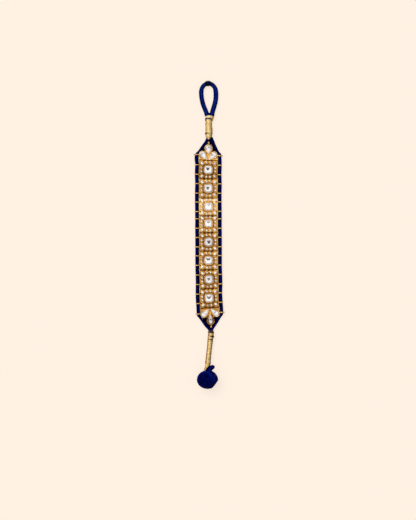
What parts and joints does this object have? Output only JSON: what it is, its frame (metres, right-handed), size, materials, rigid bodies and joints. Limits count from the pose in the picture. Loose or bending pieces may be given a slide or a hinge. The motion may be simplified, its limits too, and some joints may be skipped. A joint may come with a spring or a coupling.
{
  "type": "kundan bracelet",
  "caption": "Flat button-and-loop bracelet: square stone-set gold plaques strung on two blue thread cords, with pear-stone end pieces, gold-wound necks, a cord loop and a wound button.",
  "frame": {"origin": "middle of the fourth plaque's back, which lies on the surface", "axes": "+Y along the bracelet towards the cord loop, +X across it, +Z out of the stones' faces"},
  "size_m": [0.0198, 0.1974, 0.0128],
  "materials": {
    "gold": "soft burnished gold foil",
    "stone": "foil-backed white cut stone",
    "blue_thread": "navy blue silk thread",
    "gold_thread": "pale gold metallic thread, closely wound",
    "black_thread": "black thread"
  },
  "bodies": {
    "root": {"plaque_1": "gold", "plaque_2": "gold", "plaque_3": "gold", "plaque_4": "gold", "plaque_5": "gold", "plaque_6": "gold", "plaque_7": "gold", "plaque_8": "gold", "centre_stone_1": "stone", "centre_stone_2": "stone", "centre_stone_3": "stone", "centre_stone_4": "stone", "centre_stone_5": "stone", "centre_stone_6": "stone", "centre_stone_7": "stone", "centre_stone_8": "stone", "accent_stones_1": "stone", "accent_stones_2": "stone", "accent_stones_3": "stone", "accent_stones_4": "stone", "accent_stones_5": "stone", "accent_stones_6": "stone", "accent_stones_7": "stone", "accent_stones_8": "stone", "top_trefoil": "gold", "top_stone_left": "stone", "top_stone_right": "stone", "top_stone_tip": "stone", "bottom_trefoil": "gold", "bottom_stone_left": "stone", "bottom_stone_right": "stone", "bottom_stone_tip": "stone", "side_cord_left": "blue_thread", "side_cord_right": "blue_thread", "top_wrap": "gold_thread", "bottom_wrap": "gold_thread", "loop_cord": "blue_thread", "loop_binding": "black_thread", "button": "blue_thread"}
  },
  "joints": []
}
